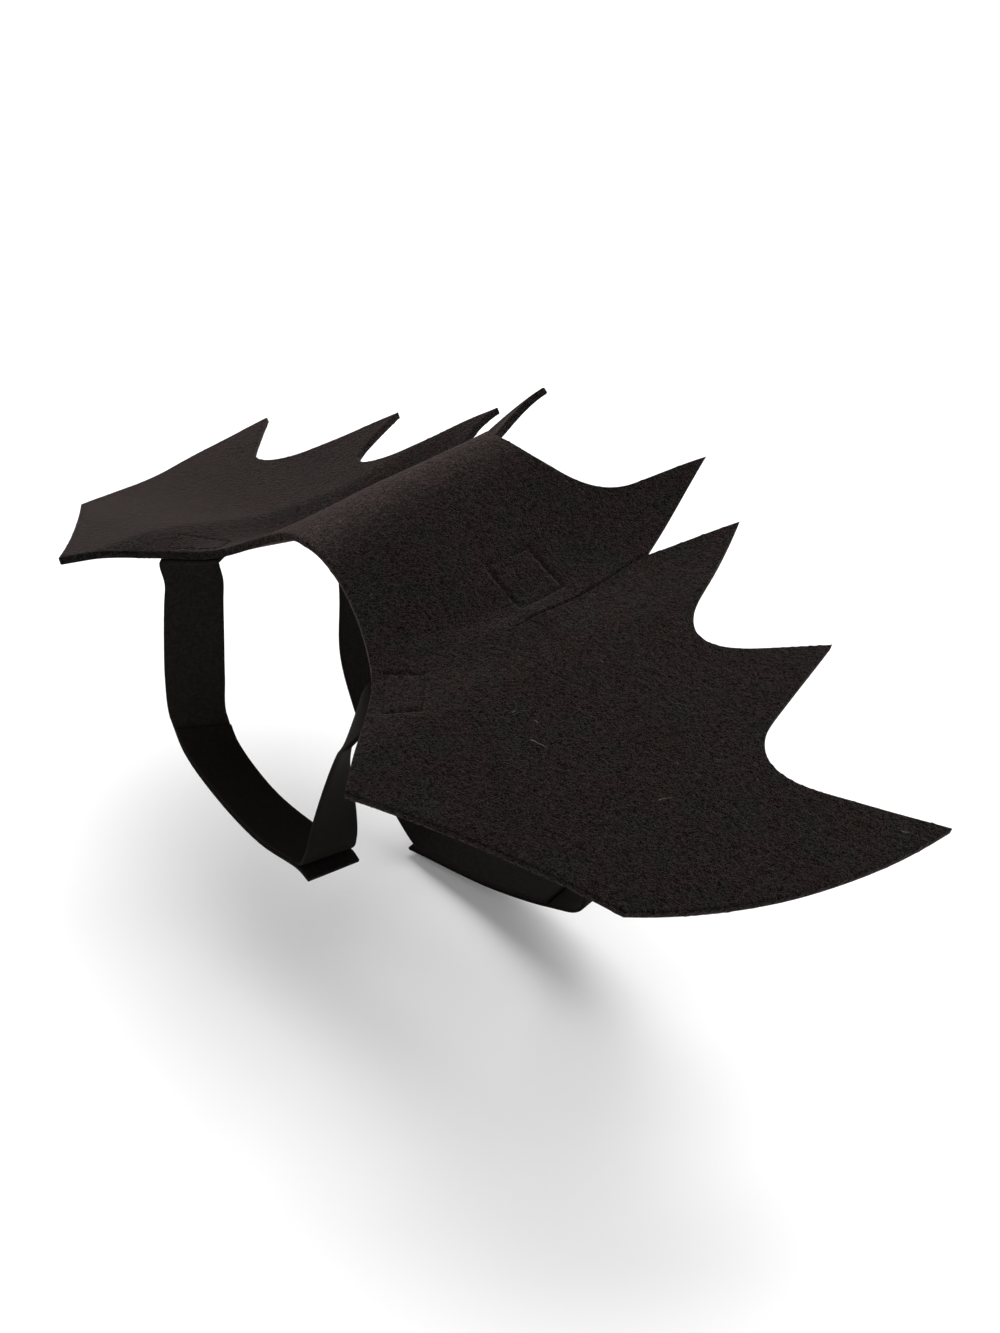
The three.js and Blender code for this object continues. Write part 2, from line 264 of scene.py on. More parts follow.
def feltDetail(x, y):            # the left dart's pucker, stitch dents and gentle unevenness
    height = 0.0
    if x > 0:
        past = y - dart["startY"]
        length = ramp(past, *dart["puckerRise"]) * (1 - ramp(past, *dart["puckerFade"]))
        share = (x - dart["x"]) / dart["puckerWidth"] + 1
        height = dart["pucker"] * length * share * math.exp(0.5 - share * share / 2)
    for box in stitchBoxes:
        distance = boxDistance(box, x, y) / seam["dentWidth"]
        if distance < seam["dentReach"]:
            height -= box["dent"] * math.exp(-distance * distance)
    size = wingForm["unevenSize"]
    height += wingForm["unevenness"] * noise.noise((x / size, y / size, wingForm["unevenDraw"]))
    return height


def outwardShift(reach, y, isRight):       # the slit leans and the right wing's spikes splay
    shift = dart["lean"] * (1 - 2 * ramp(y, dart["startY"], dart["mouthY"]))
    shift *= 1 - ramp(abs(reach - dart["x"]), 0, dart["leanReach"])
    if isRight:
        spikes = ramp(reach, 0, rightWing["splayFull"]) * (1 - ramp(reach, *rightWing["splayFade"]))
        shift += rightWing["splay"] * spikes * ramp(y, *rightWing["splayRise"])
    return shift


def spreadShift(x, y):           # the right wing's outer part spreads from head to tail
    if x >= 0:
        return 0.0
    share = ramp(-x, wingForm["outerMeet"][0], rightWing["spreadFull"])
    return rightWing["spread"] * (y - rightWing["spreadMiddle"]) * share


def feltSpot(x, y, depth):       # a point below the upper face, crest level
    reach = abs(x)
    shift = outwardShift(reach, y, x < 0)
    placeX = x + shift if x > 0 else x - shift
    placeY = y + spreadShift(x, y)
    opening = ramp(y, dart["startY"], dart["startY"] + dart["lipRamp"])
    opening *= 1 - ramp(abs(reach - dart["x"]), 0, dart["lipReach"])
    lift = dart["lipLift"] if reach > dart["x"] else dart["lipLift"] + dart["lipStep"]
    place = Vector((placeX, placeY, restHeight(placeX, placeY) + lift * opening))
    return place - restNormal(placeX, placeY) * depth


def feltFace(x, y):              # the upper face with its nap and small detail
    spot = feltSpot(x, y, -feltSheet["loft"])
    spot.z += feltDetail(x, y)
    return spot


# Edges of the left half in plan, in millimetres. ease rounds a corner over that length,
# and via pulls the stretch that leads to a row into a curve.
headEdge = [
    {"x": 0, "y": 0},
    {"x": 65.2, "y": -20.6, "via": (37, 3.6)},        # neck corner
    {"x": 105.2, "y": -58},                           # wrist
    {"x": 189, "y": -13.5, "via": (146, -30.5)},      # leading bend
    {"x": 224, "y": 102, "via": (222, 34)},           # wing tip
]
innerTailEdge = [
    {"x": 0, "y": 94},
    {"x": 17.2, "y": 100.4, "via": (8.8, 96.2)},
    {"x": 40.4, "y": 113, "ease": 17},                # crest scallop
    {"x": 49.7, "y": 164.2},                          # first spike
    {"x": 70.3, "y": 112},                            # slit mouth
]
outerTailEdge = [
    {"x": 70.3, "y": 112},
    {"x": 77.2, "y": 155.6},                          # second spike
    {"x": 114, "y": 79.5, "ease": 33.5},              # inner scallop
    {"x": 142.5, "y": 134.5},                         # third spike
    {"x": 166, "y": 59.5, "ease": 32},                # outer scallop
    {"x": 224, "y": 103.5},                           # wing tip
]
feltSheet = {
    "curvePoints": 18,
    "rim": 0.4,              # width of the softened arris
    "loft": 0.2,             # nap that stands up from both faces
    "sheenWidth": 11.0,       # width of the painted sheen along the crest
    "pitch": 1.6,            # grid that carries the form
    "gridX": (-224, 224),
    "gridY": (-60, 165),
    "smoothBelow": 52,
}


def curveTo(points, via, end):
    start = points[-1]
    for step in range(1, feltSheet["curvePoints"] + 1):
        share = step / feltSheet["curvePoints"]
        points.append(mix(mix(start, via, share), mix(via, end, share), share))


def edgePoints(rows):
    corners = [Vector((row["x"], row["y"])) for row in rows]
    points = [corners[0]]
    for index in range(1, len(rows)):
        row = rows[index]
        here = corners[index]
        if "ease" in row:
            points.append(here + (corners[index - 1] - here).normalized() * row["ease"])
            curveTo(points, here, here + (corners[index + 1] - here).normalized() * row["ease"])
        elif "via" in row:
            curveTo(points, Vector(row["via"]), here)
        else:
            points.append(here)
    return points


def halfOutline():               # from the crest's head end round to its tail end
    half = dart["slit"] / 2
    outline = edgePoints(headEdge)
    outline += reversed(edgePoints(outerTailEdge)[1:])
    outline += [Vector((dart["x"] + half, y)) for y in (dart["mouthY"], dart["cutY"])]
    outline += [Vector((dart["x"] - half, y)) for y in (dart["cutY"], dart["mouthY"])]
    outline += reversed(edgePoints(innerTailEdge)[:-1])
    return outline


def cutFelt():
    left = halfOutline()
    outline = left + [Vector((-point.x, point.y)) for point in reversed(left[1:-1])]
    bpy.ops.object.select_all(action="DESELECT")
    bpy.ops.mesh.primitive_circle_add(vertices=len(outline), radius=1, fill_type="NGON")
    felt = startPiece("felt_wings")
    for vertex, point in zip(felt.data.vertices, outline):
        vertex.co = (point.x, point.y, 0)
    bpy.ops.object.mode_set(mode="EDIT")
    bpy.ops.mesh.select_all(action="SELECT")
    bpy.ops.mesh.inset(thickness=feltSheet["rim"], depth=0)
    lines = [((x, 0), (1, 0)) for x in gridLines(*feltSheet["gridX"])]
    lines += [((0, y), (0, 1)) for y in gridLines(*feltSheet["gridY"])]
    for place, normal in lines + creaseLines():
        bpy.ops.mesh.select_all(action="SELECT")
        bpy.ops.mesh.bisect(plane_co=(*place, 0), plane_no=(*normal, 0))
    bpy.ops.object.mode_set(mode="OBJECT")
    return felt


def creaseLines():               # lines along the box stitches, so that their creases are crisp
    lines = []
    for box in stitchBoxes:
        along = bearing(box["turn"])
        across = Vector((-along.y, along.x))
        middle = Vector((box["x"], box["y"]))
        for normal, half in ((along, box["long"] / 2), (across, seam["boxWidth"] / 2)):
            for side in (-1, 1):
                for step in (-seam["cutStep"], 0, seam["cutStep"]):
                    lines.append((middle + normal * (side * half + step), normal))
    return lines


def gridLines(low, high):
    pitch = feltSheet["pitch"]
    count = int((high - low) / pitch)
    return [low + pitch * (step + 0.5) for step in range(count)]


def markRim(felt):               # the cut edge, kept as an attribute on which the finish paints shade
    uses = {}
    for polygon in felt.data.polygons:
        for key in polygon.edge_keys:
            uses[key] = uses.get(key, 0) + 1
    rim = {vertex for key, count in uses.items() if count == 1 for vertex in key}
    cutEdge = felt.data.attributes.new("cutEdge", "FLOAT", "POINT")
    for index in rim:
        cutEdge.data[index].value = 1.0
    return rim


def makeFelt():
    felt = cutFelt()
    print("felt cut:", len(felt.data.polygons), "faces")
    rim = markRim(felt)
    # painted sheen: a share that lightens the colour along the crest
    crestSheenMask = felt.data.attributes.new("crestSheenMask", "FLOAT", "POINT")
    for vertex in felt.data.vertices:
        share = vertex.co.x / feltSheet["sheenWidth"]
        if vertex.index not in rim:
            crestSheenMask.data[vertex.index].value = math.exp(-share * share)
        vertex.co = toWorn(feltFace(vertex.co.x, vertex.co.y))
    count = len(felt.data.vertices)
    depth = wingForm["thickness"] + 2 * feltSheet["loft"]
    addModifier(felt, "SOLIDIFY", thickness=depth * mm, offset=-1)
    vertices = felt.data.vertices
    share = feltSheet["rim"] / depth
    for index in rim:            # the arris is pressed in a little on both faces
        upper = vertices[index].co.copy()
        lower = vertices[index + count].co.copy()
        vertices[index].co = upper.lerp(lower, share)
        vertices[index + count].co = lower.lerp(upper, share)
    smoothShade(felt, feltSheet["smoothBelow"])
    return felt


# Straps: tape of one width, as stations of its middle in millimetres with the crest level.
# turn is the bearing of the width in plan, lean how far it tips up, and run the way that a
# sewn end leads out, in degrees.
tape = {
    "width": 25.0,
    "thickness": 1.6,
    "gap": 0.4,
    "rails": 10,             # strips across the width
    "steps": 6,              # steps from station to station
    "peel": 0.5,
    "peelStart": 0.6,        # as a share of the sewn end
    "endTrim": 2,            # steps by which the inner layer's end falls short
    "edge": 0.55,
    "edgeSteps": 2,
    "edgeAbove": 60,
    "smoothBelow": 50,
}
neckStraps = {
    "leftPatch": {"x": 68.5, "y": -23.5, "turn": 140, "run": 230, "length": 24},
    "leftDrop": [
        {"x": 67, "y": -30.5, "z": -39.5, "turn": 137, "lean": -6},
        {"x": 62.5, "y": -32, "z": -48, "turn": 140, "lean": -26},
        {"x": 54, "y": -31, "z": -61, "turn": 140, "lean": -40},
        {"x": 44, "y": -30.5, "z": -81, "turn": 123, "lean": -38},
        {"x": 36, "y": -31.5, "z": -102, "turn": 104, "lean": -28},
        {"x": 30.5, "y": -33.5, "z": -119, "turn": 92, "lean": -16},
    ],
    "rightPatch": {"x": -63, "y": -20, "turn": 44, "run": -46, "length": 24},
    "rightDrop": [
        {"x": -62.5, "y": -21.5, "z": -40, "turn": 46, "lean": 0},
        {"x": -61.3, "y": -24.5, "z": -48, "turn": 48, "lean": -2},
        {"x": -60, "y": -29, "z": -62, "turn": 54, "lean": -6},
        {"x": -60, "y": -34, "z": -82, "turn": 64, "lean": -12},
    ],
    "closure": [
        {"x": -60, "y": -37, "z": -100, "turn": 78, "lean": -20},
        {"x": -54, "y": -38, "z": -114, "turn": 82, "lean": -22},
        {"x": -30, "y": -38.5, "z": -125.5, "turn": 79, "lean": -22},
        {"x": 0, "y": -37.5, "z": -129.5, "turn": 80, "lean": -14},
        {"x": 24, "y": -34.5, "z": -129, "turn": 86, "lean": -13},
        {"x": 31.5, "y": -35, "z": -130.3, "turn": 91, "lean": -15},
    ],
}
chestStraps = {
    "leftPatch": {"x": 64, "y": 60, "turn": 90, "run": 0, "length": 22},
    "leftDrop": [
        {"x": 67.5, "y": 60, "z": -47, "turn": 90, "lean": 0},
        {"x": 68.5, "y": 60, "z": -75, "turn": 90, "lean": 0},
        {"x": 77, "y": 60, "z": -120, "turn": 90, "lean": 0},
        {"x": 84, "y": 60, "z": -160, "turn": 92, "lean": 0},
        {"x": 82, "y": 60, "z": -175, "turn": 94, "lean": 0},
        {"x": 75, "y": 60, "z": -184, "turn": 96, "lean": 0},
    ],
    "rightPatch": {"x": -64, "y": 60, "turn": 90, "run": 180, "length": 22},
    "rightDrop": [
        {"x": -66.5, "y": 60.5, "z": -60, "turn": 90, "lean": 0},
        {"x": -67, "y": 57.5, "z": -84, "turn": 90, "lean": 0},
        {"x": -68.5, "y": 51.8, "z": -116, "turn": 90, "lean": 0},
        {"x": -65, "y": 51, "z": -150, "turn": 92, "lean": 0},
        {"x": -56, "y": 49.5, "z": -180, "turn": 94, "lean": 0},
        {"x": -43, "y": 48.5, "z": -198, "turn": 96, "lean": 0},
    ],
    "closure": [
        {"x": -38, "y": 47.8, "z": -213, "turn": 97, "lean": 0},
        {"x": -28, "y": 49, "z": -211.5, "turn": 97, "lean": 0},
        {"x": 15, "y": 54, "z": -205, "turn": 97, "lean": 0},
        {"x": 45, "y": 57.5, "z": -196.5, "turn": 97, "lean": 0},
        {"x": 62, "y": 59.5, "z": -190, "turn": 97, "lean": 0},
    ],
}


def railShares():
    return [step / tape["rails"] - 0.5 for step in range(tape["rails"] + 1)]


def stationRail(row):
    level = math.cos(math.radians(row["lean"]))
    plan = bearing(row["turn"]) * level
    across = Vector((plan.x, plan.y, math.sin(math.radians(row["lean"]))))
    middle = Vector((row["x"], row["y"], row["z"]))
    return [middle + across * tape["width"] * share for share in railShares()]


def patchRails(patch):           # the sewn end, under the felt and peeling off it at its mouth
    run = bearing(patch["run"])
    across = bearing(patch["turn"])
    rails = []
    count = 2 * tape["steps"]
    for step in range(count + 1):
        share = step / count
        depth = wingForm["thickness"] + tape["gap"] + tape["thickness"] / 2
        depth += tape["peel"] * ramp(share, tape["peelStart"], 1)
        start = Vector((patch["x"], patch["y"])) + run * (share - 1) * patch["length"]
        places = [start + across * tape["width"] * side for side in railShares()]
        rails.append([feltSpot(place.x, place.y, depth) for place in places])
    return rails


def curveAt(points, place):      # centripetal curve through the points
    index = min(int(place), len(points) - 2)
    share = place - index
    p1, p2 = points[index], points[index + 1]
    p0 = points[index - 1] if index > 0 else p1 * 2 - p2
    p3 = points[index + 2] if index + 2 < len(points) else p2 * 2 - p1
    spans = [max(math.sqrt((b - a).length), 1e-6) for a, b in ((p0, p1), (p1, p2), (p2, p3))]
    t1 = (p1 - p0) / spans[0] - (p2 - p0) / (spans[0] + spans[1]) + (p2 - p1) / spans[1]
    t2 = (p2 - p1) / spans[1] - (p3 - p1) / (spans[1] + spans[2]) + (p3 - p2) / spans[2]
    t1 = t1 * spans[1]
    t2 = t2 * spans[1]
    c2 = (p2 - p1) * 3 - t1 * 2 - t2
    c3 = (p1 - p2) * 2 + t1 + t2
    return p1 + t1 * share + c2 * share ** 2 + c3 * share ** 3


def smoothRails(rails):
    columns = list(zip(*rails))
    count = (len(rails) - 1) * tape["steps"]
    places = [step / tape["steps"] for step in range(count + 1)]
    return [[curveAt(column, place) for column in columns] for place in places]


def offsetRails(rails, offset):
    last = len(rails) - 1
    moved = []
    for i, rail in enumerate(rails):
        row = []
        for j, point in enumerate(rail):
            along = rails[min(i + 1, last)][j] - rails[max(i - 1, 0)][j]
            across = rail[min(j + 1, tape["rails"])] - rail[max(j - 1, 0)]
            row.append(point + along.cross(across).normalized() * offset)
        moved.append(row)
    return moved


def closureLayers(rows):         # the upper layer lies inside the loop
    meeting = smoothRails([stationRail(row) for row in rows])
    apart = (tape["thickness"] + tape["gap"]) / 2
    return offsetRails(meeting, apart), offsetRails(meeting, -apart)


def strapRails(patch, drop, closure):
    steps = tape["steps"]
    hanging = [patch[-1 - steps], patch[-1]]
    hanging += [stationRail(row) for row in drop] + [closure[0], closure[steps]]
    return patch + smoothRails(hanging)[steps + 1:-steps - 1] + closure


def makeTape(name, rails):
    stations = len(rails)
    bpy.ops.object.select_all(action="DESELECT")
    bpy.ops.mesh.primitive_grid_add(x_subdivisions=tape["rails"], y_subdivisions=stations - 1, size=1)
    strap = startPiece(name)
    run = [0.0]
    middle = tape["rails"] // 2
    for before, after in zip(rails, rails[1:]):
        run.append(run[-1] + (after[middle] - before[middle]).length * mm)
    spots = []
    for vertex in strap.data.vertices:
        rail = round((vertex.co.x + 0.5) * tape["rails"])
        station = round((vertex.co.y + 0.5) * (stations - 1))
        spots.append((rail, station))
        vertex.co = toWorn(rails[station][rail])
    uv = strap.data.uv_layers.active.data      # the tape laid flat, in metres
    for loop in strap.data.loops:
        rail, station = spots[loop.vertex_index]
        uv[loop.index].uv = (rail / tape["rails"] * tape["width"] * mm, run[station])
    addModifier(strap, "SOLIDIFY", thickness=tape["thickness"] * mm, offset=0)
    addModifier(strap, "BEVEL", width=tape["edge"] * mm, segments=tape["edgeSteps"], limit_method="ANGLE",
                angle_limit=math.radians(tape["edgeAbove"]))
    smoothShade(strap, tape["smoothBelow"])
    return strap, run[-1]


def makeStraps():
    pieces = {}
    steps = tape["steps"]
    trim = tape["endTrim"]
    neckInside, neckOutside = closureLayers(neckStraps["closure"])
    chestInside, chestOutside = closureLayers(chestStraps["closure"])
    laps = {                     # the outer layer runs on past the inner one as a tab
        "neck_tape_right": (neckStraps, "right", neckOutside),
        "neck_tape_left": (neckStraps, "left", neckInside[trim:-steps][::-1]),
        "chest_tape_right": (chestStraps, "right", chestInside[steps:-trim]),
        "chest_tape_left": (chestStraps, "left", chestOutside[::-1]),
    }
    for name, (straps, side, lap) in laps.items():
        rails = strapRails(patchRails(straps[side + "Patch"]), straps[side + "Drop"], lap)
        pieces[name] = makeTape(name, rails)
        print(name, "is", round(pieces[name][1], 3), "m long")
    return pieces


# Box stitches: short threads sunk in the creases of the felt's upper face
def boxPlaces(box):
    along = bearing(box["turn"])
    across = Vector((-along.y, along.x))
    middle = Vector((box["x"], box["y"]))
    corners = [
        middle + along * box["long"] / 2 * u + across * seam["boxWidth"] / 2 * v
        for u, v in ((-1, -1), (1, -1), (1, 1), (-1, 1))
    ]
    for start, end in zip(corners, corners[1:] + corners[:1]):
        count = round((end - start).length / seam["pitch"])
        for step in range(count):
            yield mix(start, end, (step + 0.5) / count), (end - start).normalized()


def makeStitches(box):
    bpy.ops.object.select_all(action="DESELECT")
    bpy.ops.mesh.primitive_uv_sphere_add(segments=seam["sides"], ring_count=seam["rings"], radius=0.5)
    stitches = startPiece(box["name"])
    ball = [vertex.co.copy() for vertex in stitches.data.vertices]
    faces = [tuple(polygon.vertices) for polygon in stitches.data.polygons]
    points = []
    skin = []
    for place, run in boxPlaces(box):
        spot = feltFace(place.x, place.y)
        up = restNormal(place.x, place.y)
        along = Vector((run.x, run.y, 0))
        along = (along - up * along.dot(up)).normalized()
        across = up.cross(along)
        first = len(points)
        spot += up * seam["proud"]
        for co in ball:
            offset = along * co.x * seam["stitch"] + (across * co.y + up * co.z) * seam["thread"]
            points.append(toWorn(spot + offset))
        skin += [tuple(index + first for index in face) for face in faces]
    stitches.data.clear_geometry()
    stitches.data.from_pydata(points, [], skin)
    smoothShade(stitches, seam["smoothBelow"])
    return stitches


# Loose fibres: a short nap over the felt and a little pale lint on it
fibreShape = {"spans": 3, "rootWidth": 0.5, "taper": 0.3, "liftTurn": 0.75}
nap = {
    "seed": 7,
    "count": 16000,
    "length": (0.8, 2.4),
    "width": 0.065,
    "bow": 0.3,              # as a share of the length
    "lift": (0.05, 0.42),
}
lint = {
    "seed": 21,
    "count": 16,
    "areaX": (-205, 205),
    "areaY": (0, 70),
    "length": (0.7, 2.2),
    "width": 0.1,
    "bow": 0.35,
    "lift": (0.1, 0.5),
    "height": 0.15,
    "placed": [                                        # the fibres that show most
        {"x": 122.7, "y": 9.2, "turn": 20, "length": 7},
        {"x": 163.0, "y": 28.9, "turn": 65, "length": 5},
        {"x": 216.1, "y": 88.2, "turn": 40, "length": 3},
        {"x": -49.5, "y": 24.7, "turn": 120, "length": 6},
        {"x": 73.6, "y": 78.5, "turn": 10, "length": 1.5},
        {"x": 106.9, "y": 11.2, "turn": 80, "length": 1.5},
    ],
}


def addFibre(points, skin, root, along, up, length, width, bow, lift):
    along = (along - up * along.dot(up)).normalized()
    across = up.cross(along).normalized()
    first = len(points)
    spans = fibreShape["spans"]
    for step in range(spans + 1):
        share = step / spans
        sway = bow * math.sin(share * math.pi)
        rise = lift * math.sin(share * math.pi * fibreShape["liftTurn"])
        middle = root + along * length * (share - 0.5) + across * sway + up * rise
        half = width * (fibreShape["rootWidth"] - fibreShape["taper"] * share)
        points.append(middle + across * half)
        points.append(middle - across * half)
    for step in range(spans):
        a = first + 2 * step
        skin.append((a, a + 1, a + 3, a + 2))


def meshPiece(name, points, skin):
    bpy.ops.object.select_all(action="DESELECT")
    bpy.ops.mesh.primitive_plane_add(size=1)
    piece = startPiece(name)
    piece.data.clear_geometry()
    piece.data.from_pydata(points, [], skin)
    return piece


def makeNap(felt):
    draw = random.Random(nap["seed"])
    polygons = felt.data.polygons
    areas = [polygon.area for polygon in polygons]
    chosen = draw.choices(range(len(polygons)), weights=areas, k=nap["count"])
    points = []
    skin = []
    for index in chosen:
        polygon = polygons[index]
        corners = [felt.data.vertices[i].co for i in polygon.vertices]
        root = corners[0].lerp(corners[1], draw.random()).lerp(corners[2], draw.random())
        along = Vector((draw.uniform(-1, 1), draw.uniform(-1, 1), draw.uniform(-1, 1)))
        length = draw.uniform(*nap["length"]) * mm
        bow = draw.uniform(-nap["bow"], nap["bow"]) * length
        lift = draw.uniform(*nap["lift"]) * mm
        addFibre(points, skin, root, along, polygon.normal, length, nap["width"] * mm, bow, lift)
    return meshPiece("felt_nap", points, skin)


def makeLint():
    draw = random.Random(lint["seed"])
    points = []
    skin = []
    rows = list(lint["placed"])
    while len(rows) < lint["count"] + len(lint["placed"]):
        rows.append({
            "x": draw.uniform(*lint["areaX"]),
            "y": draw.uniform(*lint["areaY"]),
            "turn": draw.uniform(0, 360),
            "length": draw.uniform(*lint["length"]),
        })
    for row in rows:
        spot = feltFace(row["x"], row["y"])
        spot.z += lint["height"]
        plan = bearing(row["turn"])
        up = (wornFrame.to_3x3() @ restNormal(row["x"], row["y"])).normalized()
        length = row["length"] * mm
        bow = draw.uniform(-lint["bow"], lint["bow"]) * length
        lift = draw.uniform(*lint["lift"]) * mm
        along = Vector((plan.x, plan.y, 0))
        addFibre(points, skin, toWorn(spot), along, up, length, lint["width"] * mm, bow, lift)
    return meshPiece("pale_lint", points, skin)


# Finishes: colours, and the numbers that go on the shader's own sockets
finish = {
    "felt": {
        "dark": (0.0008, 0.0007, 0.0007),
        "light": (0.0104, 0.0108, 0.0107),
        "warm": (0.0144, 0.0090, 0.0084),
        "warmPatch": {"From Min": 0.42, "From Max": 0.62},
        "sheenDark": (0.0080, 0.0062, 0.0058),          # painted sheen: lighter colour along the crest, where light catches the fold
        "sheenLight": (0.0520, 0.0385, 0.0360),
        "sheenShare": 0.8,
        "edgeShadeShare": 0.35,                             # painted shade: how far the cut edge walls are darkened
        "clumpShade": {"From Min": 0.34, "From Max": 0.66, "To Min": 0.6, "To Max": 1.4},
        "clumpHeight": 2.2,
        "fibres": {"Grain": 1150.0, "Strand": 380.0, "Mottle": 70.0},
        "bump": {"Distance": 0.0004, "Strength": 0.9},
        "shader": {"Roughness": 0.95, "Specular IOR Level": 0.03,
                   "Sheen Weight": 0.135, "Sheen Roughness": 0.30},
    },
    "tape": {
        "warpShare": 1.2,                              # warp pitch as a share of the rib's
        "clumpTone": {"From Min": 0.36, "From Max": 0.66},
        "pileHeight": 0.5,
        "fibres": {"Grain": 1500.0, "Strand": 600.0, "Mottle": 90.0},
        "bump": {"Distance": 0.00025, "Strength": 0.7},
        "shader": {"Roughness": 0.85, "Specular IOR Level": 0.04,
                   "Sheen Weight": 0.012, "Sheen Roughness": 0.3},
    },
    "loop": {
        "dark": (0.0016, 0.0013, 0.0013),
        "light": (0.0136, 0.0108, 0.0101),
        "rib": 0.0010,                                 # pitch in metres
        "weave": 0.35,                                 # how much of the tone is weave
    },
    "hook": {
        "dark": (0.0014, 0.0011, 0.0011),
        "light": (0.0080, 0.0057, 0.0048),
        "rib": 0.0008,
        "weave": 0.6,
    },
    "strand": {
        "fibres": {"Grain": 900.0, "Strand": 300.0, "Mottle": 60.0},
        "shader": {"Specular IOR Level": 0.05},
    },
    "thread": {"dark": (0.0010, 0.0009, 0.0009), "light": (0.0040, 0.0035, 0.0034), "roughness": 0.7},
    "nap": {"dark": (0.002, 0.0017, 0.0016), "light": (0.078, 0.064, 0.060), "roughness": 0.9},
    "lint": {"dark": (0.16, 0.14, 0.13), "light": (0.40, 0.37, 0.34), "roughness": 0.9},
    "sheenTint": (1.0, 0.75, 0.70),
}
fibreLook = {
    "grainDetail": 2.0,
    "grainSpread": {"From Min": 0.37, "From Max": 0.68},
    "grainShare": 0.72,
    "strandShare": 0.28,
    "strandDetail": 1.0,
    "strandWind": 1.2,
    "strandWidth": 0.035,
    "strandHeight": 0.6,
    "fineScale": 2.1,        # finer strands, as shares of the main ones
    "fineWidth": 0.05,
    "fineShare": 0.7,
    "clumpScale": 0.45,
    "clumpDetail": 2.0,
    "mottleDetail": 3.0,
}
weaveLook = {"rib": 0.3, "check": 0.2, "middle": 0.5}


def newGroup(name, inputs, outputs):
    group = bpy.data.node_groups.new(name, "ShaderNodeTree")
    group.interface.new_socket("Vector", in_out="INPUT", socket_type="NodeSocketVector")
    for socket in inputs:
        group.interface.new_socket(socket, in_out="INPUT", socket_type="NodeSocketFloat")
    for socket in outputs:
        group.interface.new_socket(socket, in_out="OUTPUT", socket_type="NodeSocketFloat")
    entry = group.nodes.new("NodeGroupInput")
    leave = group.nodes.new("NodeGroupOutput")
    return group, entry.outputs, leave.inputs


def addNode(tree, kind, **settings):
    node = tree.nodes.new(kind)
    for key, value in settings.items():
        setattr(node, key, value)
    return node


def math2(tree, operation, a, b):
    node = addNode(tree, "ShaderNodeMath", operation=operation)
    for socket, value in zip(node.inputs, (a, b)):
        if isinstance(value, (int, float)):
            socket.default_value = value
        else:
            tree.links.new(value, socket)
    return node.outputs[0]


def mapRange(tree, value, limits, **settings):
    node = addNode(tree, "ShaderNodeMapRange", **settings)
    tree.links.new(value, node.inputs["Value"])
    for socket, limit in limits.items():
        node.inputs[socket].default_value = limit
    return node.outputs["Result"]


def noiseNode(tree, vector, scale, detail, distortion=0.0):
    node = addNode(tree, "ShaderNodeTexNoise")
    tree.links.new(vector, node.inputs["Vector"])
    tree.links.new(scale, node.inputs["Scale"])
    node.inputs["Detail"].default_value = detail
    node.inputs["Distortion"].default_value = distortion
    return node.outputs["Fac"]


def strandLines(tree, vector, scale, width):   # thin winding lines where a noise crosses its middle
    field = noiseNode(tree, vector, scale, fibreLook["strandDetail"], fibreLook["strandWind"])
    away = math2(tree, "ABSOLUTE", math2(tree, "SUBTRACT", field, 0.5), 0)
    limits = {"From Max": width, "To Min": 1.0, "To Max": 0.0}
    return mapRange(tree, away, limits, interpolation_type="SMOOTHSTEP")


def makeFibreGroup():            # matted fibres: speckle, strands, clumps and broad mottling
    look = fibreLook
    group, given, result = newGroup(
        "mattedFibres", ("Grain", "Strand", "Mottle"), ("Tone", "Clump", "Mottle", "Height"))
    place = given["Vector"]
    grain = noiseNode(group, place, given["Grain"], look["grainDetail"])
    strands = strandLines(group, place, given["Strand"], look["strandWidth"])
    fineScale = math2(group, "MULTIPLY", given["Strand"], look["fineScale"])
    fine = strandLines(group, place, fineScale, look["fineWidth"])
    lines = math2(group, "MAXIMUM", strands, math2(group, "MULTIPLY", fine, look["fineShare"]))
    speckle = math2(group, "MULTIPLY", mapRange(group, grain, look["grainSpread"]), look["grainShare"])
    tone = math2(group, "ADD", speckle, math2(group, "MULTIPLY", lines, look["strandShare"]))
    group.links.new(tone, result["Tone"])
    clumpScale = math2(group, "MULTIPLY", given["Grain"], look["clumpScale"])
    group.links.new(noiseNode(group, place, clumpScale, look["clumpDetail"]), result["Clump"])
    group.links.new(noiseNode(group, place, given["Mottle"], look["mottleDetail"]), result["Mottle"])
    height = math2(group, "ADD", math2(group, "MULTIPLY", lines, look["strandHeight"]), grain)
    group.links.new(height, result["Height"])
    return group


def makeWeaveGroup():            # fine ribs across a tape, crossed by its warp
    group, given, result = newGroup("tapeWeave", ("Rib", "Warp"), ("Height",))
    split = addNode(group, "ShaderNodeSeparateXYZ")
    group.links.new(given["Vector"], split.inputs[0])
    waves = []
    for axis, size in (("X", "Warp"), ("Y", "Rib")):
        turns = math2(group, "DIVIDE", split.outputs[axis], given[size])
        waves.append(math2(group, "SINE", math2(group, "MULTIPLY", turns, 2 * math.pi), 0))
    warp, rib = waves
    checks = math2(group, "MULTIPLY", math2(group, "MULTIPLY", warp, rib), weaveLook["check"])
    height = math2(group, "ADD", math2(group, "MULTIPLY", rib, weaveLook["rib"]), checks)
    group.links.new(math2(group, "ADD", height, weaveLook["middle"]), result["Height"])
    return group


def startMaterial(name, settings):
    material = bpy.data.materials.new(name)
    material.use_nodes = True
    tree = material.node_tree
    shader = tree.nodes["Principled BSDF"]
    shader.inputs["Sheen Tint"].default_value = (*finish["sheenTint"], 1.0)
    for socket, value in settings.items():
        shader.inputs[socket].default_value = value
    return material, tree, shader


